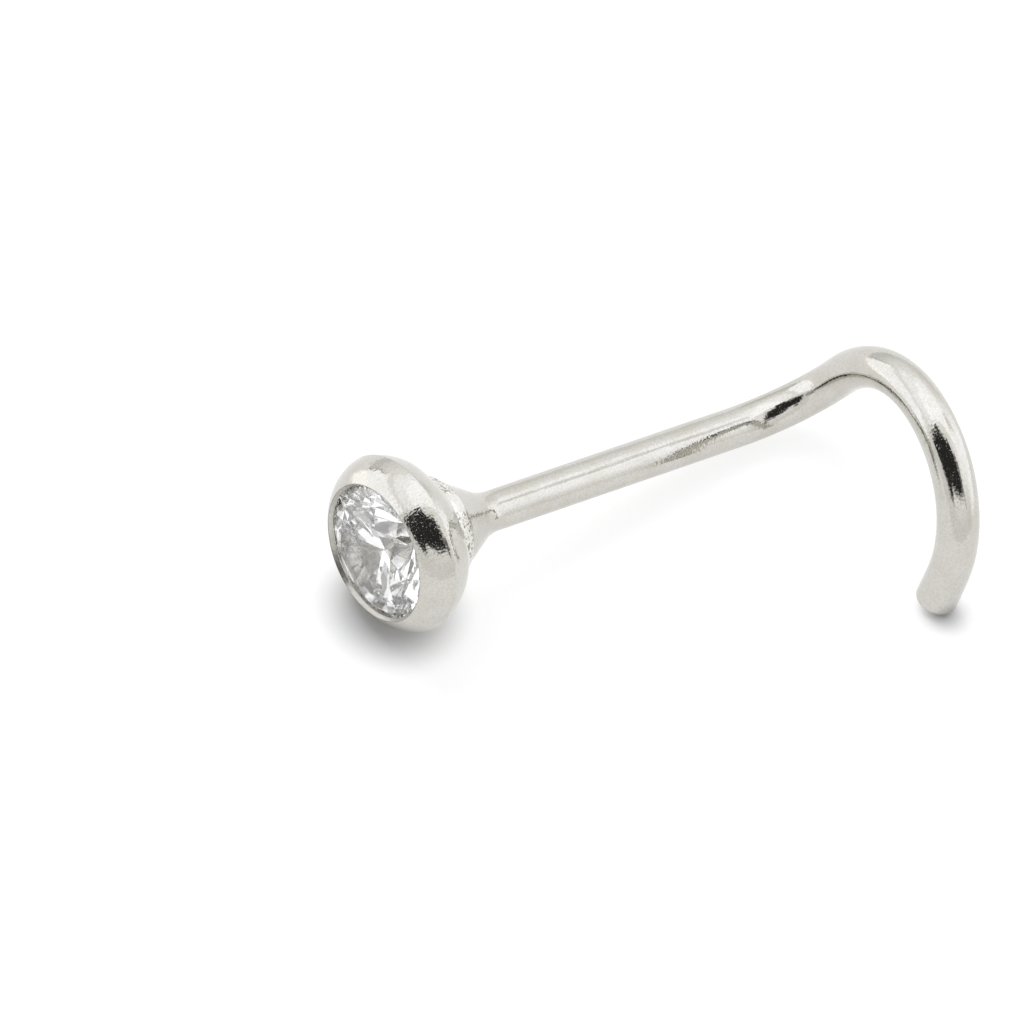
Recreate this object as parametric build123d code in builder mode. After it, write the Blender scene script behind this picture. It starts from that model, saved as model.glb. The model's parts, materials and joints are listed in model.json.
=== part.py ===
"""Nose stud of the screw kind: a round brilliant in a bezel, on a post that ends in a hook.

The metal is one soldered solid, and the stone is a second one, held under the bezel's lip.
Millimetres, +Z up. The stud lies as it rests on a table: on the bezel's rim, on the end of
the post and on the hook's tip, with the hook standing up as an arch. The post runs towards
+X from the bezel to the hook, and the hook's tip lies on the -Y side. The origin is on the
table, under the middle of the stud's box.
"""

from build123d import *
import os
from math import atan, cos, degrees, pi, radians, sin, tan
from typing import NamedTuple

# ---- wire: post, bend and hook ----
WIRE_RADIUS = 0.325         # 22 gauge
BEND_START = 7.165          # from the front of the bezel's lip, along the post
TIP_STRAIGHT = 0.62         # the last stretch of the hook has no bend
TIP_ROUNDING = 0.09


class Bend(NamedTuple):
    radius: float           # of the wire's centre line
    turn: float             # how far it turns the wire, in degrees
    twist: float            # of its plane about the wire, from the plane of the bend before


BENDS = (
    Bend(radius=1.31, turn=90.1, twist=19.98),    # the first twist is from straight up
    Bend(radius=2.05, turn=29.6, twist=87.6),
    Bend(radius=1.58, turn=42.9, twist=0.0),
    Bend(radius=2.00, turn=86.6, twist=0.0),
)

# ---- how the stud lies, in degrees ----
POST_DIP = 9.35             # the post falls from the bezel to the hook
HEAD_YAW = 2.60             # the bezel is soldered a little off square to the post
HEAD_PITCH = 1.50

# ---- stone: a round brilliant ----
STONE_RADIUS = 1.13
GIRDLE_DEPTH = 0.15         # from the front of the lip back to the girdle
GIRDLE_THICKNESS = 0.06
CROWN_ANGLE = 33.0
PAVILION_ANGLE = 40.9
TABLE_SHARE = 0.57          # of the stone's width, corner to corner
STAR_SHARE = 0.50           # of the way out from the table's edge to the girdle
LOWER_HALF_SHARE = 0.76     # of the way in from the girdle to the culet
CULET_SHARE = 0.02          # of the stone's width
FOLD = 8                    # the cut repeats this many times round the stone

# ---- bezel and neck, each place as (distance from the axis, distance back from the lip) ----
SEAT_GAP = 0.015            # between the stone and the metal
LIP_EDGE = (1.075, 0.06)
LIP_CREST = (1.12, 0.0)
FRONT_SWELL = (1.315, 0.165)
WIDEST = (1.446, 0.46)
BACK_SWELL = (1.252, 0.805)
BACK_EDGE = (0.95, 1.06)
NECK_BASE = (0.947, 1.05)
NECK_CORNER = (WIRE_RADIUS, 2.12)
NECK_BLEND = 0.75           # radius where the neck's cone runs out into the wire

# ---- the stone's other slopes follow from where its facets meet ----
half_fold = pi / FOLD
quarter_fold = half_fold / 2
crown_height = STONE_RADIUS * (1 - TABLE_SHARE) * tan(radians(CROWN_ANGLE))
pavilion_depth = STONE_RADIUS * (1 - CULET_SHARE) * tan(radians(PAVILION_ANGLE))

table_reach = STONE_RADIUS * TABLE_SHARE * cos(half_fold)
star_reach = table_reach + STAR_SHARE * (STONE_RADIUS - table_reach)
star_height = (STONE_RADIUS - star_reach * cos(half_fold)) * tan(radians(CROWN_ANGLE))
star_slope = atan((crown_height - star_height) / (star_reach - table_reach))
upper_half_slope = atan(star_height / (STONE_RADIUS - star_reach) / cos(quarter_fold))

lower_reach = STONE_RADIUS * (1 - LOWER_HALF_SHARE)
lower_depth = (STONE_RADIUS - lower_reach * cos(half_fold)) * tan(radians(PAVILION_ANGLE))
lower_half_slope = atan(lower_depth / (STONE_RADIUS - lower_reach) / cos(quarter_fold))


def profile_plane(axis_plane):
    """The half plane of a turned shape: x is the distance from the axis, y goes along it."""
    return Plane(axis_plane.origin, x_dir=axis_plane.x_dir, z_dir=-axis_plane.y_dir)


def axis_of(axis_plane):
    return Axis(axis_plane.origin, axis_plane.z_dir)


def bend_hinge(section, bend):
    """The line that a bend turns about. The section's z goes along the wire, its x inwards."""
    return Axis(section.from_local_coords((bend.radius, 0, 0)), section.y_dir)


def section_after(section, bend):
    """The wire's section at the end of a bend."""
    turn = radians(bend.turn)
    centre = section.from_local_coords((bend.radius, 0, 0))
    inwards = section.x_dir * cos(turn) - section.z_dir * sin(turn)
    along = section.z_dir * cos(turn) + section.x_dir * sin(turn)
    return Plane(centre - inwards * bend.radius, x_dir=inwards, z_dir=along)


def facets(axis_plane, count, first, slope, reach, height):
    """The planes of a ring of facets, facing out of the stone, with their angles in radians.

    They fall away outwards at the slope, and are at the reach from the axis at the height.
    """
    for i in range(count):
        azimuth = first + i * 2 * pi / count
        foot = Rotation(0, 0, degrees(azimuth)) * Pos(reach, 0, height)
        yield axis_plane.moved(foot * Rotation(0, degrees(slope), 0))


# ---- the post's axis, and the bezel's, which leans off it at the bezel's middle ----
dip = radians(POST_DIP)
post_axis = Plane((0, 0, 0), x_dir=(sin(dip), 0, cos(dip)), z_dir=(cos(dip), 0, -sin(dip)))
lean = Rotation(HEAD_YAW, HEAD_PITCH, 0)
head_axis = post_axis.offset(WIDEST[1]).moved(lean).offset(-WIDEST[1])

# ---- nose_screw ----
with BuildPart() as nose_screw:
    # bezel, still full
    with BuildSketch(profile_plane(head_axis)):
        with BuildLine():
            Line((0, 0), LIP_CREST)
            ThreePointArc(LIP_CREST, FRONT_SWELL, WIDEST)
            ThreePointArc(WIDEST, BACK_SWELL, BACK_EDGE)
            Polyline(BACK_EDGE, (0, BACK_EDGE[1]), (0, 0))
        make_face()
    revolve(axis=axis_of(head_axis))

    # neck and straight post
    with BuildSketch(profile_plane(post_axis)) as post_profile:
        with BuildLine():
            Polyline((0, NECK_BASE[1]), NECK_BASE, NECK_CORNER,
                     (WIRE_RADIUS, BEND_START), (0, BEND_START), close=True)
        make_face()
        fillet(post_profile.vertices().sort_by_distance(NECK_CORNER)[0], NECK_BLEND)
    revolve(axis=axis_of(post_axis))

    # bend and hook
    wire_section = post_axis.offset(BEND_START)
    for bend in BENDS:
        wire_section = wire_section.moved(Rotation(0, 0, bend.twist))
        with BuildSketch(wire_section):
            Circle(WIRE_RADIUS)
        revolve(axis=bend_hinge(wire_section, bend), revolution_arc=bend.turn)
        wire_section = section_after(wire_section, bend)

    # tip
    tip_corner = (WIRE_RADIUS, TIP_STRAIGHT)
    with BuildSketch(profile_plane(wire_section)) as tip_profile:
        with BuildLine():
            Polyline((0, 0), (WIRE_RADIUS, 0), tip_corner, (0, TIP_STRAIGHT), close=True)
        make_face()
        fillet(tip_profile.vertices().sort_by_distance(tip_corner)[0], TIP_ROUNDING)
    revolve(axis=axis_of(wire_section))

    # seat for the stone: its opening, the underside of the lip, the girdle's wall and a cone
    seat_radius = STONE_RADIUS + SEAT_GAP
    seat_front = GIRDLE_DEPTH - SEAT_GAP
    seat_back = GIRDLE_DEPTH + GIRDLE_THICKNESS + SEAT_GAP
    lip_underside = seat_front - (seat_radius - LIP_EDGE[0]) * tan(upper_half_slope)
    seat_point = seat_back + seat_radius * lower_depth / (STONE_RADIUS - lower_reach)
    with BuildSketch(profile_plane(head_axis)):
        with BuildLine():
            Polyline((0, 0), LIP_CREST, LIP_EDGE, (LIP_EDGE[0], lip_underside),
                     (seat_radius, seat_front), (seat_radius, seat_back), (0, seat_point),
                     close=True)
        make_face()
    revolve(axis=axis_of(head_axis), mode=Mode.SUBTRACT)

# ---- stone: a disc from the table to the culet, cut by rings of facets ----
stone_axis = head_axis.offset(GIRDLE_DEPTH).moved(Rotation(180, 0, 0))
girdle_reach = STONE_RADIUS * cos(quarter_fold)
down = pi                   # a slope past a right angle faces the pavilion's facets backwards
with BuildPart() as stone:
    with BuildSketch(stone_axis.offset(-GIRDLE_THICKNESS - pavilion_depth)):
        Circle(STONE_RADIUS)
    extrude(amount=pavilion_depth + GIRDLE_THICKNESS + crown_height)
    rings = (
        facets(stone_axis, FOLD, 0, radians(CROWN_ANGLE), STONE_RADIUS, 0),
        facets(stone_axis, FOLD, half_fold, star_slope, table_reach, crown_height),
        facets(stone_axis, 2 * FOLD, quarter_fold, upper_half_slope, girdle_reach, 0),
        facets(stone_axis, FOLD, 0, down - radians(PAVILION_ANGLE), STONE_RADIUS,
               -GIRDLE_THICKNESS),
        facets(stone_axis, 2 * FOLD, quarter_fold, down - lower_half_slope, girdle_reach,
               -GIRDLE_THICKNESS),
    )
    for ring in rings:
        for facet in ring:
            split(bisect_by=facet, keep=Keep.BOTTOM)

# ---- set both on the table ----
stud_box = nose_screw.part.bounding_box().add(stone.part.bounding_box())
to_table = Location((-stud_box.center().X, -stud_box.center().Y, -stud_box.min.Z))
nose_screw.part.move(to_table)
stone.part.move(to_table)

os.makedirs("parts", exist_ok=True)
nose_screw.part.label = "nose_screw"
export_step(nose_screw.part, "parts/nose_screw.step")
stone.part.label = "stone"
export_step(stone.part, "parts/stone.step")
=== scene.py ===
import json
from math import atan2, cos, hypot, pi, radians, sin, tan
from typing import NamedTuple
import bpy
import numpy as np
from mathutils import Matrix, Vector


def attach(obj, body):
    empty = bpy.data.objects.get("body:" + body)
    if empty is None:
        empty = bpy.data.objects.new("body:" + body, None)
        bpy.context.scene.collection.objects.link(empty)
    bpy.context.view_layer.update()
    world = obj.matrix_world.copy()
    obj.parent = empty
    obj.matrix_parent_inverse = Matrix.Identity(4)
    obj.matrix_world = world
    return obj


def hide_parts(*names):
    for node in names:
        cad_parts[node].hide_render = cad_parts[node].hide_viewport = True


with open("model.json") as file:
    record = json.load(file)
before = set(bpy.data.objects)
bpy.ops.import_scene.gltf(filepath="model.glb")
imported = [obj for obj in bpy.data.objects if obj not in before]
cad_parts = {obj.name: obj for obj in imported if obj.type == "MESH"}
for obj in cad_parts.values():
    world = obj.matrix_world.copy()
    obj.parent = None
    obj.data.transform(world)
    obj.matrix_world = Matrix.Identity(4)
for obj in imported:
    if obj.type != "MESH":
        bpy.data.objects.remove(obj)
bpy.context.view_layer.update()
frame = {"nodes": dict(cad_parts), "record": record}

# The looks of a nose stud: a round brilliant in a bezel, on a post that ends in a hook.
# Shapes are worked out in millimetres and become metres as they are put into a mesh.
MM = 0.001
mounts = {mount["name"]: mount for mount in frame["record"]["mounts"]}


class Bend(NamedTuple):
    radius: float           # of the wire's centre line
    turn: float             # how far it turns the wire, in degrees
    twist: float            # of its plane about the wire, from the plane of the bend before


# ---- the stud's dimensions, as its solids have them ----
WIRE_RADIUS = 0.325
BEND_START = 7.165          # from the front of the lip, along the post
BENDS = (
    Bend(1.31, 90.1, 19.98),
    Bend(2.05, 29.6, 87.6),
    Bend(1.58, 42.9, 0.0),
    Bend(2.00, 86.6, 0.0),
)
TIP_STRAIGHT = 0.62
TIP_ROUNDING = 0.09
HEAD_YAW = 2.60             # of the bezel, off the post's axis, in degrees
HEAD_PITCH = 1.50

STONE_RADIUS = 1.13
GIRDLE_DEPTH = 0.15         # from the front of the lip
GIRDLE_THICKNESS = 0.06
SEAT_GAP = 0.015            # between the stone and the metal
LIP_UNDERSIDE = 0.077       # from the front of the lip, at its edge
SEAT_SLOPE = 0.887          # of the cone behind the stone

# places on the bezel, as (distance from the axis, distance back from the lip)
LIP_EDGE = (1.075, 0.06)
LIP_CREST = (1.12, 0.0)
FRONT_SWELL = (1.315, 0.165)
WIDEST = (1.446, 0.46)
BACK_SWELL = (1.252, 0.805)
BACK_EDGE = (0.95, 1.06)
NECK_BASE = (0.947, 1.05)
NECK_CORNER = (WIRE_RADIUS, 2.12)
NECK_BLEND = 0.75           # radius where the neck's cone runs out into the wire
LEAN_END = 1.60             # how far back the neck has turned to the post's axis

# ---- small departures of the real thing from its plan ----
SOLDER_SWELL = (0.864, 1.25)    # the solder's bead round the neck, in the middle and at its end
SOLDER_END = (0.744, 1.40)
SOLDER_CLEAN = (12, 11, 3)  # where it has no pits: middle, half width and edge in degrees
BACK_FULLNESS = 0.11        # of the bezel's back, for each millimetre back
BACK_FLAT = (12, 35, 14)    # where it has none: middle, half width and edge in degrees
FADE = 0.08                 # the fullness, the bead's painted highlight and its pits run out over this length
CREST_LINE = 0.009          # half width of the dark line along the lip's crest
HOOK_SWELL = 0.04           # of the wire's radius, where it was bent
SWELL_RANGE = (8.6, 10.6)   # it grows between these places along the wire from the lip
BEND_EASE = 0.16            # each bend runs into the next over about this length
DRAWN_RANGE = (-0.4, 0.2)   # the wire's drawn finish starts over this, from the neck's end

# ---- fineness of the metal's mesh ----
SIDES = 160
WIRE_STEP = 0.04
SEAT_STEPS = (12, 2, 3, 4)  # cone, girdle's wall, underside of the lip, its edge
LIP_STEPS = 10
BEZEL_STEPS = 60            # for each of its two arcs
NECK_STEPS = 24             # on the bead and on the cone
BLEND_STEPS = 14
TIP_STEPS = 8               # round the tip's edge
TIP_END_STEPS = 6           # across its end
CRISP_SHARE = 0.06          # of a line, from its ends to the points that keep its corners sharp
ROUNDING_ERROR = 1e-6


# ---------------------------------------------------------------- shapes in outline
def arc_through(start, middle, end, steps):
    """Points of the arc through three places of a profile, without its start."""
    # the arc's centre is (ux, uy)
    (ax, ay), (bx, by), (cx, cy) = start, middle, end
    d = 2 * (ax * (by - cy) + bx * (cy - ay) + cx * (ay - by))
    a2, b2, c2 = ax * ax + ay * ay, bx * bx + by * by, cx * cx + cy * cy
    ux = (a2 * (by - cy) + b2 * (cy - ay) + c2 * (ay - by)) / d
    uy = (a2 * (cx - bx) + b2 * (ax - cx) + c2 * (bx - ax)) / d
    radius = hypot(ax - ux, ay - uy)
    first = atan2(ay - uy, ax - ux)
    last = atan2(cy - uy, cx - ux)
    sweep = (last - first + pi) % (2 * pi) - pi
    return [(ux + radius * cos(first + sweep * i / steps),
             uy + radius * sin(first + sweep * i / steps)) for i in range(1, steps + 1)]


def line_to(start, end, steps, crisp=False):
    """Points of a straight stretch of a profile, without its start.

    A crisp one has a point close to each end, which keeps its corners sharp."""
    shares = [i / steps for i in range(1, steps + 1)]
    if crisp:
        shares = [CRISP_SHARE] + shares[:-1] + [1 - CRISP_SHARE, 1]
    return [(start[0] + (end[0] - start[0]) * share,
             start[1] + (end[1] - start[1]) * share) for share in shares]


def smoothstep(low, high, x):
    """0 below low, 1 above high, and a smooth rise between them."""
    t = np.clip((x - low) / (high - low), 0, 1)
    return t * t * (3 - 2 * t)


def degrees_from(angles, middle):
    """How far each angle round the axis is from the middle, in degrees."""
    return np.degrees(np.abs((angles - radians(middle) + pi) % (2 * pi) - pi))


# ---------------------------------------------------------------- the stud's axes
def frame_along(axis, point):
    """A frame at the point, its z along the axis and its x as near straight up as may be."""
    z = Vector(axis).normalized()
    x = (Vector((0, 0, 1)) - z * z.z).normalized()
    y = z.cross(x)
    frame_matrix = Matrix((x, y, z)).transposed().to_4x4()
    frame_matrix.translation = point
    return frame_matrix


neck_slope = (NECK_BASE[0] - NECK_CORNER[0]) / (NECK_CORNER[1] - NECK_BASE[1])
neck_angle = atan2(neck_slope, 1)
blend_length = NECK_BLEND * tan(neck_angle / 2)
post_start = NECK_CORNER[1] + blend_length
post_middle = (post_start + BEND_START) / 2

post_mount = mounts["post"]
post_direction = Vector(post_mount["axis"]).normalized()
lip_centre = Vector(post_mount["pos_m"]) / MM - post_direction * post_middle
post_axis = frame_along(post_direction, lip_centre)
lean = Matrix.Rotation(radians(HEAD_YAW), 4, "X") @ Matrix.Rotation(radians(HEAD_PITCH), 4, "Y")
head_axis = (post_axis @ Matrix.Translation((0, 0, WIDEST[1])) @ lean
             @ Matrix.Translation((0, 0, -WIDEST[1])))


# ---------------------------------------------------------------- the metal as rings
class Ring(NamedTuple):
    """One ring of a closed round skin."""
    centre: np.ndarray
    x: np.ndarray           # the two directions that it lies in
    y: np.ndarray
    radius: float
    kind: str               # inside, bezel, neck, wire or tip
    along: float            # distance back from the lip, along the axis or the wire


def ring_at(section, back, radius, kind, along):
    """A ring on the section's axis, that far back along it."""
    return Ring(np.array(section @ Vector((0, 0, back))), np.array(section.col[0].to_3d()),
                np.array(section.col[1].to_3d()), radius, kind, along)


def seat_profile():
    """The stone's seat from its bottom to the lip's crest, as (distance out, distance back)."""
    seat_radius = STONE_RADIUS + SEAT_GAP
    seat_front = GIRDLE_DEPTH - SEAT_GAP
    seat_back = GIRDLE_DEPTH + GIRDLE_THICKNESS + SEAT_GAP
    places = [(0, seat_back + seat_radius * SEAT_SLOPE)]
    corners = ((seat_radius, seat_back), (seat_radius, seat_front),
               (LIP_EDGE[0], LIP_UNDERSIDE), LIP_EDGE)
    for corner, steps in zip(corners, SEAT_STEPS):
        places += line_to(places[-1], corner, steps, crisp=True)
    return places + line_to(LIP_EDGE, LIP_CREST, LIP_STEPS, crisp=True)


def bezel_profile():
    """The bezel from the lip's crest round its outside to its back edge."""
    return (arc_through(LIP_CREST, FRONT_SWELL, WIDEST, BEZEL_STEPS)
            + arc_through(WIDEST, BACK_SWELL, BACK_EDGE, BEZEL_STEPS))


def neck_profile():
    """The neck from the bezel's back edge to the straight wire, with the solder's bead."""
    cone_end = (NECK_CORNER[0] + blend_length * sin(neck_angle),
                NECK_CORNER[1] - blend_length * cos(neck_angle))
    places = arc_through(BACK_EDGE, SOLDER_SWELL, SOLDER_END, NECK_STEPS)
    places += line_to(SOLDER_END, cone_end, NECK_STEPS)
    centre = (WIRE_RADIUS + NECK_BLEND, post_start)
    for i in range(1, BLEND_STEPS + 1):
        angle = neck_angle * (1 - i / BLEND_STEPS)
        places.append((centre[0] - NECK_BLEND * cos(angle), centre[1] - NECK_BLEND * sin(angle)))
    return places


def wire_line():
    """Points of the wire's centre line, from the start of the straight post."""
    points = []
    section = post_axis @ Matrix.Translation((0, 0, post_start))
    straight = BEND_START - post_start
    count = round(straight / WIRE_STEP)
    for i in range(count):
        points.append(section @ Vector((0, 0, straight * i / count)))
    section = section @ Matrix.Translation((0, 0, straight))
    for radius, turn, twist in BENDS:
        section = section @ Matrix.Rotation(radians(twist), 4, "Z")
        count = round(radius * radians(turn) / WIRE_STEP)
        centre = Matrix.Translation((radius, 0, 0))
        for i in range(count):
            step = centre @ Matrix.Rotation(radians(turn) * i / count, 4, "Y") @ centre.inverted()
            points.append((section @ step).translation)
        section = section @ centre @ Matrix.Rotation(radians(turn), 4, "Y") @ centre.inverted()
    straight = TIP_STRAIGHT - TIP_ROUNDING
    count = round(straight / WIRE_STEP)
    for i in range(count + 1):
        points.append(section @ Vector((0, 0, straight * i / count)))
    return eased(points)


def eased(points):
    """The line with its changes of curvature spread out. Its ends stay."""
    line = np.array(points)
    reach = 3 * round(BEND_EASE / WIRE_STEP)       # three standard deviations
    before = line[0] + (line[0] - line[1]) * np.arange(reach, 0, -1)[:, None]
    after = line[-1] + (line[-1] - line[-2]) * np.arange(1, reach + 1)[:, None]
    padded = np.vstack([before, line, after])
    weights = np.exp(-0.5 * (np.arange(-reach, reach + 1) * WIRE_STEP / BEND_EASE) ** 2)
    weights /= weights.sum()
    smooth = np.array([np.convolve(padded[:, k], weights, "valid") for k in range(3)]).T
    return [Vector(place) for place in smooth]


def wire_rings():
    """The rings round the wire and its rounded tip."""
    rings = []
    points = wire_line()
    section = post_axis.copy()
    along = post_start
    for before, point, after in zip(points, points[1:], points[2:] + points[-1:]):
        along += (point - before).length
        direction = (after - before).normalized()
        turn = section.col[2].to_3d().rotation_difference(direction)
        section = (turn.to_matrix() @ section.to_3x3()).to_4x4()
        section.translation = point
        radius = WIRE_RADIUS * (1 + HOOK_SWELL * float(smoothstep(*SWELL_RANGE, along)))
        rings.append(ring_at(section, 0, radius, "wire", along))
    end_radius = radius - TIP_ROUNDING
    for i in range(1, TIP_STEPS + 1):
        angle = pi / 2 * i / TIP_STEPS
        rings.append(ring_at(section, TIP_ROUNDING * sin(angle),
                             end_radius + TIP_ROUNDING * cos(angle), "tip", along))
    for i in range(TIP_END_STEPS - 1, -1, -1):
        rings.append(ring_at(section, TIP_ROUNDING, end_radius * i / TIP_END_STEPS, "tip", along))
    return rings


def metal_rings():
    """All the metal's rings, from the bottom of the seat to the end of the tip."""
    rings = []
    for kind, profile in (("inside", seat_profile()), ("bezel", bezel_profile())):
        rings += [ring_at(head_axis, back, radius, kind, back) for radius, back in profile]
    for radius, back in neck_profile():
        section = head_axis.lerp(post_axis, float(smoothstep(BACK_EDGE[1], LEAN_END, back)))
        rings.append(ring_at(section, back, radius, "neck", back))
    return rings + wire_rings()


def back_fullness(kinds, along, angles):
    """How far the bezel's back stands out past its plan, by ring and angle."""
    middle, half_width, edge = BACK_FLAT
    full = smoothstep(half_width - edge, half_width + edge, degrees_from(angles, middle))
    fullness = (kinds == "bezel") * BACK_FULLNESS * np.clip(along - WIDEST[1], 0, None)
    fullness *= 1 - smoothstep(BACK_EDGE[1] - FADE, BACK_EDGE[1], along)
    return fullness[:, None] * full


def surface_values(radii, kinds, along, angles):
    """What the metal's material has to know of each place, from 0 to 1, by ring and angle."""
    drawn_start, drawn_end = (post_start + offset for offset in DRAWN_RANGE)
    on_solder = (kinds == "neck") * (1 - smoothstep(SOLDER_END[1] - FADE, SOLDER_END[1], along))
    middle, half_width, edge = SOLDER_CLEAN
    pitted = smoothstep(half_width - edge, half_width + edge, degrees_from(angles, middle))
    from_crest = np.hypot(radii - LIP_CREST[0], along - LIP_CREST[1])
    on_lip = (kinds == "inside") & (along <= LIP_EDGE[1] + ROUNDING_ERROR)
    return {
        "wire": smoothstep(drawn_start, drawn_end, along)[:, None],
        "solder": on_solder[:, None],
        "pitted": on_solder[:, None] * pitted,
        "lip": on_lip[:, None],
        "crest": np.exp(-(from_crest / CREST_LINE) ** 2)[:, None],
    }


def by_vertex(values):
    """Values by ring and angle in the order of the skin's vertices: its two ends are last."""
    return np.concatenate([values[1:-1].reshape(-1, *values.shape[2:]),
                           values[:1, 0], values[-1:, 0]])


def skin(name, rings):
    """One closed mesh through the rings. Its first and last ring have no radius.

    It carries the surface's values, and coordinates "drawn" in which the wire is straight."""
    centres, xs, ys, radii, kinds, along = (np.array(column) for column in zip(*rings))
    angles = np.linspace(0, 2 * pi, SIDES, endpoint=False)
    spokes = xs[:, None] * np.cos(angles)[:, None] + ys[:, None] * np.sin(angles)[:, None]
    reach = radii[:, None] + back_fullness(kinds, along, angles)
    places = centres[:, None] + spokes * reach[:, :, None]
    rows = len(rings) - 2
    first = rows * SIDES
    last = first + 1
    faces = []
    for j in range(SIDES):
        k = (j + 1) % SIDES
        faces.append((first, k, j))
        for i in range(rows - 1):
            a, b = i * SIDES, (i + 1) * SIDES
            faces.append((a + j, a + k, b + k, b + j))
        faces.append((last, (rows - 1) * SIDES + j, (rows - 1) * SIDES + k))
    mesh = bpy.data.meshes.new(name)
    mesh.from_pydata((by_vertex(places) * MM).tolist(), [], faces)
    mesh.polygons.foreach_set("use_smooth", [True] * len(mesh.polygons))
    mesh.update()

    for attribute, values in surface_values(radii, kinds, along, angles).items():
        values = np.broadcast_to(values.astype(float), (len(rings), SIDES))
        layer = mesh.attributes.new(attribute, "FLOAT", "POINT")
        layer.data.foreach_set("value", by_vertex(values).astype(np.float32))
    drawn = np.stack([radii[:, None] * np.cos(angles), radii[:, None] * np.sin(angles),
                      np.repeat(along[:, None], SIDES, 1)], -1)
    layer = mesh.attributes.new("drawn", "FLOAT_VECTOR", "POINT")
    layer.data.foreach_set("vector", by_vertex(drawn).astype(np.float32).ravel())
    piece = bpy.data.objects.new(name, mesh)
    bpy.context.scene.collection.objects.link(piece)
    return piece


# ---------------------------------------------------------------- nodes
class Maths:
    """Makes the maths nodes of one tree."""

    def __init__(self, tree):
        self.tree = tree

    def socket(self, target, value):
        if isinstance(value, (int, float)):
            target.default_value = value
        else:
            self.tree.links.new(value, target)

    def do(self, operation, *values):
        node = self.tree.nodes.new("ShaderNodeMath")
        node.operation = operation
        for target, value in zip(node.inputs, values):
            self.socket(target, value)
        return node.outputs[0]

    def rise(self, value, low, high, start=0.0, end=1.0):
        """A smooth change from start to end as the value goes from low to high."""
        node = self.tree.nodes.new("ShaderNodeMapRange")
        node.interpolation_type = "SMOOTHSTEP"
        self.socket(node.inputs["Value"], value)
        for name, number in (("From Min", low), ("From Max", high), ("To Min", start),
                             ("To Max", end)):
            self.socket(node.inputs[name], number)
        return node.outputs["Result"]


def principled(name):
    """A new material, its tree and its shader."""
    material = bpy.data.materials.new(name)
    material.use_nodes = True
    return material, material.node_tree, material.node_tree.nodes["Principled BSDF"]


def noise_of(maths, vector, scale, detail, roughness=0.5):
    """Smooth noise from 0 to 1 over the coordinates."""
    node = maths.tree.nodes.new("ShaderNodeTexNoise")
    for name, value in (("Scale", scale), ("Detail", detail), ("Roughness", roughness)):
        node.inputs[name].default_value = value
    maths.tree.links.new(vector, node.inputs["Vector"])
    return node.outputs["Fac"]


def bump_of(maths, height, distance, below=None):
    """Relief of that height in metres, over the relief below it."""
    node = maths.tree.nodes.new("ShaderNodeBump")
    node.inputs["Distance"].default_value = distance
    maths.tree.links.new(height, node.inputs["Height"])
    if below:
        maths.tree.links.new(below, node.inputs["Normal"])
    return node.outputs["Normal"]


def blend_of(maths, share, first, second):
    """The colour between two as the share goes from 0 to 1."""
    node = maths.tree.nodes.new("ShaderNodeMix")
    node.data_type = "RGBA"
    maths.socket(node.inputs["Factor"], share)
    # its colours have these numbers, since they share their names with its other sockets
    for target, colour in ((node.inputs[6], first), (node.inputs[7], second)):
        if isinstance(colour, tuple):
            target.default_value = (*colour, 1)
        else:
            maths.tree.links.new(colour, target)
    return node.outputs[2]


def stretched(maths, vector, scale):
    """The coordinates, each times its own scale."""
    node = maths.tree.nodes.new("ShaderNodeMapping")
    node.inputs["Scale"].default_value = scale
    maths.tree.links.new(vector, node.inputs["Vector"])
    return node.outputs["Vector"]


def attribute_of(maths, name, output="Fac"):
    """What the mesh carries under the name."""
    node = maths.tree.nodes.new("ShaderNodeAttribute")
    node.attribute_name = name
    return node.outputs[output]


def parts_of(maths, vector):
    node = maths.tree.nodes.new("ShaderNodeSeparateXYZ")
    maths.tree.links.new(vector, node.inputs[0])
    return node.outputs


def offset_from(maths, vector, centre):
    """The way to the vector from below a centre in millimetres, and its length, in metres."""
    nodes = []
    for operation in ("SUBTRACT", "LENGTH"):
        node = maths.tree.nodes.new("ShaderNodeVectorMath")
        node.operation = operation
        nodes.append(node)
    maths.tree.links.new(vector, nodes[0].inputs[0])
    nodes[0].inputs[1].default_value = (centre.x * MM, centre.y * MM, 0)
    maths.tree.links.new(nodes[0].outputs["Vector"], nodes[1].inputs[0])
    return nodes[0].outputs["Vector"], nodes[1].outputs["Value"]


def azimuth_of(maths, vector):
    """The vector's direction seen from above, in degrees from +X towards +Y."""
    parts = parts_of(maths, vector)
    return maths.do("DEGREES", maths.do("ARCTAN2", parts["Y"], parts["X"]))


def sector(maths, azimuth, middle, half_width, edge):
    """1 where the azimuth is that near the middle, and 0 elsewhere."""
    off = maths.do("ABSOLUTE", maths.do("WRAP", maths.do("SUBTRACT", azimuth, middle), 180, -180))
    return maths.rise(off, half_width - edge, half_width + edge, 1.0, 0.0)


def patch_of(maths, azimuth, elevation, patch):
    """1 in a patch of the tent, and 0 outside it."""
    inside = maths.do(
        "MULTIPLY", maths.rise(elevation, patch.lowest - patch.edge, patch.lowest + patch.edge),
        maths.rise(elevation, patch.highest - patch.edge, patch.highest + patch.edge, 1.0, 0.0))
    if patch.half_width < 180:
        across = sector(maths, azimuth, patch.middle, patch.half_width, patch.edge)
        inside = maths.do("MULTIPLY", inside, across)
    return inside


# ---------------------------------------------------------------- polished silver
PER_MM = 1 / MM             # noise features to the millimetre


class Noise(NamedTuple):
    density: float          # features to the millimetre
    detail: float
    roughness: float = 0.5


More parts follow.
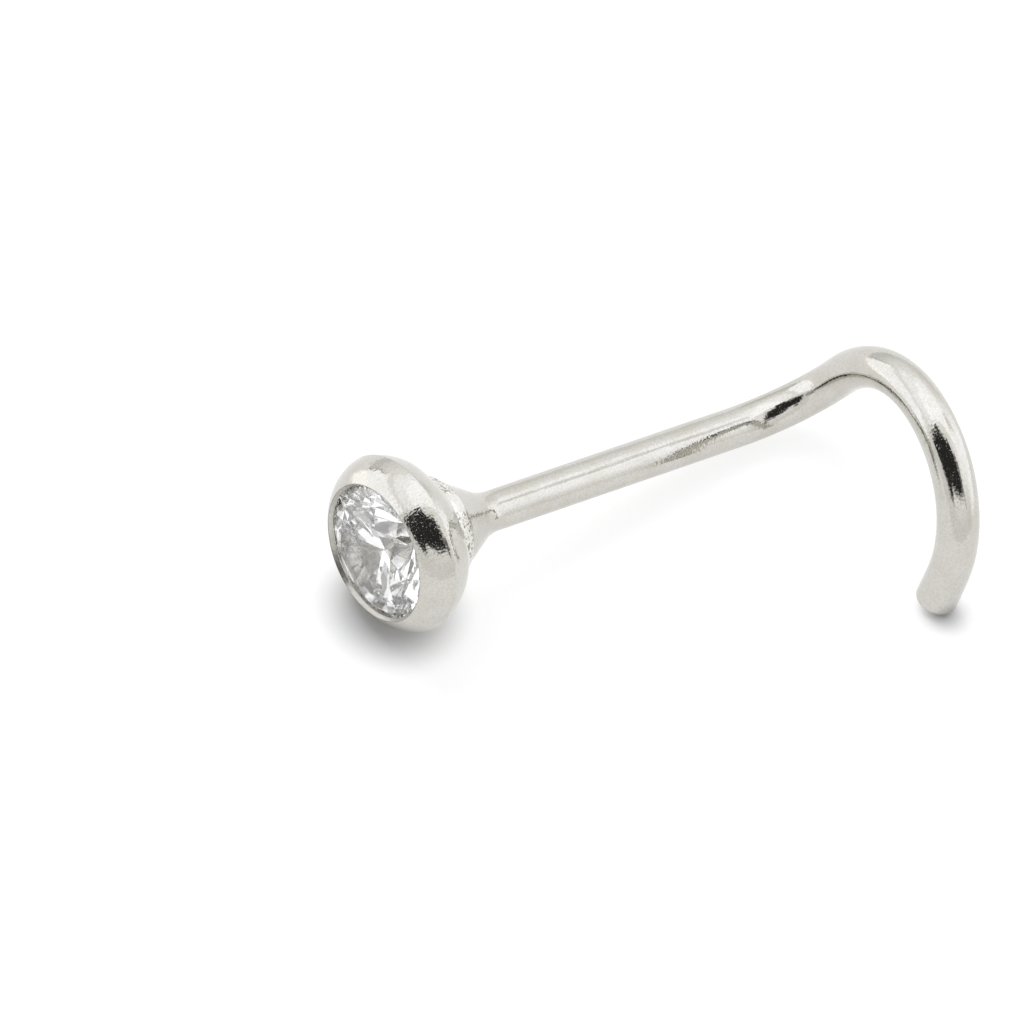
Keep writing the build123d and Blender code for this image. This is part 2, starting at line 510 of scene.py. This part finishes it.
SILVER_NOISES = {
    "waves": Noise(1.5, 0),
    "dents": Noise(6, 1),
    "grain": Noise(24, 0),
    "fine grain": Noise(38, 1),
    "specks": Noise(36, 2, 0.6),
    "crumbs": Noise(20, 1, 0.7),
    "shades": Noise(2.3, 3),
}
DRAW_STRETCH = (1, 1, 0.05)         # the drawing marks are long along the wire
DRAW_DENSITY = 24
SPECK_RANGE = (0.62, 0.80)          # the part of its noise that counts, as in other ranges
WIRE_SMOOTHNESS = 0.5               # the drawn wire has this much less relief than the rest
RELIEF = {                          # heights in metres
    "waves": 7e-6,                  # from polishing by hand
    "dents": 2e-6,                  # from wear
    "draw marks": 2.2e-6,
    "grain": 2e-6,
    "specks": 2e-6,
    "crumbs": 18e-6,                # in the solder
}

SILVER_COLOUR = (0.607, 0.595, 0.554)
DULL_COLOUR = (0.574, 0.557, 0.505)
DULL_RANGE = (0.35, 0.70)
# painted highlight: the solder's bead is coloured much lighter than the silver, standing in for
# the bright reflections in the crease round the neck
SOLDER_HIGHLIGHT_COLOUR = (0.86, 0.85, 0.81)
SOLDER_HIGHLIGHT_SHARE = 0.85
FLECK_COLOUR = (0.44, 0.42, 0.37)
FLECK_RANGE = (0.40, 0.75)
GRAIN_SHARE = 0.25
FINE_GRAIN_SHARE = 0.20
PIT_COLOUR = (0.30, 0.27, 0.20)
PIT_RANGE = (0.50, 0.62)
CREST_COLOUR = (0.24, 0.22, 0.18)
CREST_SHARE = 0.8

POLISH_RANGE = (0.30, 0.75)
POLISH = (0.05, 0.09)               # roughness at the ends of that range
MATT_GRAIN_RANGE = (0.50, 0.78)
MATT_GRAIN = 0.22                   # roughness that it adds, as the next two do
PIT_ROUGHNESS = 0.15
LIP_ROUGHNESS = 0.25

silver, tree, shader = principled("polished_silver")
maths = Maths(tree)
place = tree.nodes.new("ShaderNodeTexCoord").outputs["Object"]
drawn = stretched(maths, attribute_of(maths, "drawn", "Vector"), DRAW_STRETCH)
wire, solder, pitted, lip, crest = (attribute_of(maths, name) for name in
                                    ("wire", "solder", "pitted", "lip", "crest"))
noises = {name: noise_of(maths, place, density * PER_MM, detail, roughness)
          for name, (density, detail, roughness) in SILVER_NOISES.items()}
specks = maths.rise(noises["specks"], *SPECK_RANGE)
draw_marks = noise_of(maths, drawn, DRAW_DENSITY, detail=1)
off_wire = maths.do("MULTIPLY_ADD", wire, -WIRE_SMOOTHNESS, 1)

relief = None
for name, height, share in (
        ("waves", noises["waves"], off_wire),
        ("dents", noises["dents"], off_wire),
        ("draw marks", draw_marks, wire),
        ("grain", noises["grain"], off_wire),
        ("specks", specks, off_wire),
        ("crumbs", noises["crumbs"], pitted)):
    relief = bump_of(maths, maths.do("MULTIPLY", height, share), RELIEF[name], relief)
tree.links.new(relief, shader.inputs["Normal"])

colour = blend_of(maths, maths.rise(noises["shades"], *DULL_RANGE), SILVER_COLOUR,
                  DULL_COLOUR)
# painted highlight on the solder's bead
colour = blend_of(maths, maths.do("MULTIPLY", solder, SOLDER_HIGHLIGHT_SHARE), colour, SOLDER_HIGHLIGHT_COLOUR)
for name, share in (("grain", GRAIN_SHARE), ("fine grain", FINE_GRAIN_SHARE)):
    flecks = maths.rise(noises[name], *FLECK_RANGE, 0.0, share)
    colour = blend_of(maths, flecks, colour, FLECK_COLOUR)
pits = maths.do("MULTIPLY", pitted, maths.rise(noises["crumbs"], *PIT_RANGE))
colour = blend_of(maths, pits, colour, PIT_COLOUR)
# darker along the lip's crest
colour = blend_of(maths, maths.do("MULTIPLY", crest, CREST_SHARE), colour, CREST_COLOUR)
tree.links.new(colour, shader.inputs["Base Color"])
shader.inputs["Metallic"].default_value = 1

roughness = maths.rise(noises["dents"], *POLISH_RANGE, *POLISH)
matt_grain = maths.rise(noises["fine grain"], *MATT_GRAIN_RANGE, 0.0, MATT_GRAIN)
roughness = maths.do("ADD", roughness, matt_grain)
roughness = maths.do("MULTIPLY_ADD", pitted, PIT_ROUGHNESS, roughness)
roughness = maths.do("MULTIPLY_ADD", lip, LIP_ROUGHNESS, roughness)
tree.links.new(roughness, shader.inputs["Roughness"])

# ---------------------------------------------------------------- clear stone
STONE_INDEX = 2.3                   # of refraction
SMEAR_DENSITY = 1.4                 # features to the millimetre
SMEAR_RANGE = (0.55, 0.80)
SMEAR_ROUGHNESS = 0.03
POLISH_LINE_STRETCH = (1, 6, 1)     # the lines from the polishing wheel are fine one way
POLISH_LINE_DENSITY = 6
POLISH_LINE_RELIEF = 1e-7

clear_stone, tree, shader = principled("clear_stone")
maths = Maths(tree)
place = tree.nodes.new("ShaderNodeTexCoord").outputs["Object"]
shader.inputs["Base Color"].default_value = (1, 1, 1, 1)
shader.inputs["Transmission Weight"].default_value = 1
shader.inputs["IOR"].default_value = STONE_INDEX
smears = noise_of(maths, place, SMEAR_DENSITY * PER_MM, detail=3)
tree.links.new(maths.rise(smears, *SMEAR_RANGE, 0.0, SMEAR_ROUGHNESS), shader.inputs["Roughness"])
polish_lines = noise_of(maths, stretched(maths, place, POLISH_LINE_STRETCH),
                        POLISH_LINE_DENSITY * PER_MM, detail=2)
tree.links.new(bump_of(maths, polish_lines, POLISH_LINE_RELIEF), shader.inputs["Normal"])

# ---------------------------------------------------------------- the two pieces
screw_rings = metal_rings()
screw = skin("screw_metal", screw_rings)
screw.data.materials.append(silver)
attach(screw, "root")
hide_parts("nose_screw")
stone = frame["nodes"]["stone"]
for slot in stone.material_slots:
    slot.material = clear_stone

# ---------------------------------------------------------------- table
FLOOR_SIZE = 1.0            # in metres
GLOW = 0.78                 # painted glow of the table, away from the head and the tip: where it fades, it paints their shadows
SHADE_SHIFT = Vector((0, -0.22, 0))     # from under each of them to the middle of its shade
HEAD_REACH = (0.48, 1.42)   # the glow grows over these millimetres from there
TIP_REACH = (0.0, 0.55)
GLARE = 0.5                 # painted glare of the panel at the back left: the table glows brighter there
GLARE_SECTOR = (122, 19, 1.5)       # middle azimuth, half width and edge
GLARE_RANGE = (6.5, 8.0)    # it starts over these millimetres from the head's shade
PAPER_IN_PAINTED_SHADOW = ((0.83, 0.83, 0.83), (0.85, 0.85, 0.85))
PAPER_UNDER_PAINTED_GLOW = ((0.35, 0.35, 0.35), (0.37, 0.37, 0.37))
PAPER_DENSITY = 3
PAPER_RELIEF = 2e-6
PAPER_ROUGHNESS = 0.8
PAPER_SPECULAR = 0.1

mesh = bpy.data.meshes.new("floor")
half = FLOOR_SIZE / 2
mesh.from_pydata([(-half, -half, 0), (half, -half, 0), (half, half, 0), (-half, half, 0)], [],
                 [(0, 1, 2, 3)])
floor = bpy.data.objects.new("floor", mesh)
bpy.context.scene.collection.objects.link(floor)
white, tree, shader = principled("white_table")
maths = Maths(tree)
place = tree.nodes.new("ShaderNodeTexCoord").outputs["Object"]
head_centre = head_axis @ Vector((0, 0, WIDEST[1]))
tip_end = Vector(screw_rings[-1].centre)
from_head, head_distance = offset_from(maths, place, head_centre + SHADE_SHIFT)
from_tip, tip_distance = offset_from(maths, place, tip_end + SHADE_SHIFT)
# painted shadow: 0 at the middle of the shade under the head and the tip, rising to 1 away from
# them
outside_painted_shadow = maths.do("MINIMUM", maths.rise(head_distance, *(reach * MM for reach in HEAD_REACH)),
                maths.rise(tip_distance, *(reach * MM for reach in TIP_REACH)))
paper = noise_of(maths, place, PAPER_DENSITY * PER_MM, detail=4)
# the paper is lighter inside the painted shadow and darker under the painted glow
tree.links.new(blend_of(maths, outside_painted_shadow, blend_of(maths, paper, *PAPER_IN_PAINTED_SHADOW),
                        blend_of(maths, paper, *PAPER_UNDER_PAINTED_GLOW)), shader.inputs["Base Color"])
# painted glare: extra glow in one sector of the table, far from the head
glare = maths.do("MULTIPLY", sector(maths, azimuth_of(maths, from_head), *GLARE_SECTOR),
                 maths.rise(head_distance, *(reach * MM for reach in GLARE_RANGE)))
glow = maths.do("MULTIPLY_ADD", glare, GLARE, maths.do("MULTIPLY", outside_painted_shadow, GLOW))
shader.inputs["Emission Color"].default_value = (1, 1, 1, 1)
tree.links.new(glow, shader.inputs["Emission Strength"])
tree.links.new(bump_of(maths, paper, PAPER_RELIEF), shader.inputs["Normal"])
shader.inputs["Roughness"].default_value = PAPER_ROUGHNESS
shader.inputs["Specular IOR Level"].default_value = PAPER_SPECULAR
floor.data.materials.append(white)


# ---------------------------------------------------------------- studio
class Patch(NamedTuple):
    """A patch of the tent, in degrees seen from the stud."""
    middle: float           # azimuth from +X towards +Y
    half_width: float
    lowest: float           # elevation
    highest: float
    edge: float
    brightness: float


TENT = 0.96                 # brightness of the white tent round the stud
DARK = 0.03
PATCHES = (                 # each lies over the ones before it
    Patch(0, 180, 24, 100, 16, 1.21),       # the tent's shoulder
    Patch(84, 116, 50, 100, 2, 1.63),       # the light overhead
    Patch(-17, 29, -20, 39, 15, 1.54),      # panel on the right
    Patch(80, 22, -20, 12, 5, 0.84),        # the tent's side
    Patch(134, 32, -20, 29, 3, 1.54),       # panel at the back left
    Patch(101, 1.6, -20, 24, 1.2, 0.62),    # its frame
    Patch(118, 34, 38, 60, 2.5, 1.45),      # panels over it and round to the front
    Patch(43, 37, 41, 54, 4, 1.45),
    Patch(-42, 20, 31, 49, 5, 1.45),
    Patch(165, 39, 41, 59, 7, 1.40),
    Patch(-11, 10, 53, 56, 2, 1.0),         # a seam between two panels
    Patch(-5, 29, 38, 51, 1.5, 1.5),        # panel over the wire
    Patch(-4, 7, 36, 53, 3, 1.02),          # its seam
    Patch(-133, 52, 32, 75, 4, DARK),       # the dark card, with its lower corner
    Patch(-165, 22, 18, 40, 4, DARK),
    Patch(-78, 2.5, 20, 62, 1.5, 0.1),      # its stand
)
TENT_WHITE = (1, 1, 1)
PANEL_WHITE = (0.99, 1.0, 1.05)
PANEL_RANGE = (1.20, 1.45)  # from the tent's white to the panels', by brightness
WORLD_ON_TABLE = 0.52       # share of the tent's light there: the rest is the fill's

# Light that comes through the stone has been round it several times, so for it the tent's
# folds count and the card doesn't
CARD_THROUGH_STONE = 0.9
FOLD_DENSITY = 7
FOLD_RANGE = (0.40, 0.56)
FOLDS = (0.5, 1.16)         # share of the brightness at the ends of that range
SHADES_THROUGH_STONE = (    # here the brightness is the share that is left
    Patch(-105, 18, 35, 62, 2, 0.25),
    Patch(-133, 60, 20, 35, 2, 0.25),
)

world = bpy.data.worlds.new("studio")
bpy.context.scene.world = world
world.use_nodes = True
tree = world.node_tree
maths = Maths(tree)
direction = tree.nodes.new("ShaderNodeTexCoord").outputs["Generated"]
elevation = maths.do("DEGREES", maths.do("ARCSINE", parts_of(maths, direction)["Z"]))
azimuth = azimuth_of(maths, direction)
light_path = tree.nodes.new("ShaderNodeLightPath").outputs
through = maths.do("MINIMUM", light_path["Transmission Depth"], 1)
brightness = TENT
for patch in PATCHES:
    inside = patch_of(maths, azimuth, elevation, patch)
    level = patch.brightness
    if level == DARK:
        level = maths.do("MULTIPLY_ADD", through, CARD_THROUGH_STONE - DARK, DARK)
    step = maths.do("SUBTRACT", level, brightness)
    brightness = maths.do("MULTIPLY_ADD", inside, step, brightness)
folds = maths.rise(noise_of(maths, direction, FOLD_DENSITY, detail=2), *FOLD_RANGE, *FOLDS)
folds = maths.do("MULTIPLY_ADD", through, maths.do("SUBTRACT", folds, 1), 1)
brightness = maths.do("MULTIPLY", brightness, folds)
for patch in SHADES_THROUGH_STONE:
    inside = maths.do("MULTIPLY", patch_of(maths, azimuth, elevation, patch), through)
    shade = maths.do("MULTIPLY_ADD", inside, patch.brightness - 1, 1)
    brightness = maths.do("MULTIPLY", brightness, shade)
background = tree.nodes["Background"]
tree.links.new(blend_of(maths, maths.rise(brightness, *PANEL_RANGE), TENT_WHITE, PANEL_WHITE),
               background.inputs["Color"])
on_table = maths.do("MULTIPLY_ADD", light_path["Is Diffuse Ray"], WORLD_ON_TABLE - 1, 1)
tree.links.new(maths.do("MULTIPLY", brightness, on_table), background.inputs["Strength"])

# A soft light from behind that only the table shows
FILL_DISTANCE = 0.5         # in metres, as its size is
FILL_AZIMUTH = 88           # from +X towards +Y
FILL_ELEVATION = 50
FILL_SIZE = 0.35
FILL_POWER = 1.1
fill_data = bpy.data.lights.new("fill", "AREA")
fill_data.size = FILL_SIZE
fill_data.energy = FILL_POWER
fill = bpy.data.objects.new("fill", fill_data)
bpy.context.scene.collection.objects.link(fill)
fill.matrix_world = (Matrix.Rotation(radians(FILL_AZIMUTH + 90), 4, "Z")
                     @ Matrix.Rotation(radians(90 - FILL_ELEVATION), 4, "X")
                     @ Matrix.Translation((0, 0, FILL_DISTANCE)))
fill.visible_glossy = False
fill.visible_transmission = False
fill.visible_camera = False

# Light goes round inside the stone many times before it leaves
BOUNCES = 32
cycles = bpy.context.scene.cycles
cycles.max_bounces = BOUNCES
cycles.glossy_bounces = BOUNCES
cycles.transmission_bounces = BOUNCES

# ---------------------------------------------------------------- camera
CAMERA_AZIMUTH = -45.41     # from the -Y side, less than 0 towards -X
CAMERA_ELEVATION = 53.38
CAMERA_ROLL = 15.01
LENS = 500                  # in millimetres, as the sensor is
SENSOR = 36
CLIP = (0.01, 10)           # in metres
FRAME_WIDTH = 15.75         # of the view at the stud, in millimetres
LIP_ACROSS = -0.1357        # the lip's centre from the frame's, as a share of its width
LIP_UP = -0.0388

camera_data = bpy.data.cameras.new("camera")
camera_data.lens = LENS
camera_data.sensor_width = SENSOR
camera_data.clip_start, camera_data.clip_end = CLIP
camera = bpy.data.objects.new("camera", camera_data)
bpy.context.scene.collection.objects.link(camera)
turned = (Matrix.Rotation(radians(CAMERA_AZIMUTH), 4, "Z")
          @ Matrix.Rotation(radians(90 - CAMERA_ELEVATION), 4, "X")
          @ Matrix.Rotation(radians(CAMERA_ROLL), 4, "Z"))
distance = FRAME_WIDTH * LENS / SENSOR
offset = Vector((-LIP_ACROSS * FRAME_WIDTH, -LIP_UP * FRAME_WIDTH, distance))
camera.matrix_world = (Matrix.Translation(lip_centre * MM) @ turned
                       @ Matrix.Translation(offset * MM))
bpy.context.scene.camera = camera
bpy.context.scene.view_settings.view_transform = "Standard"
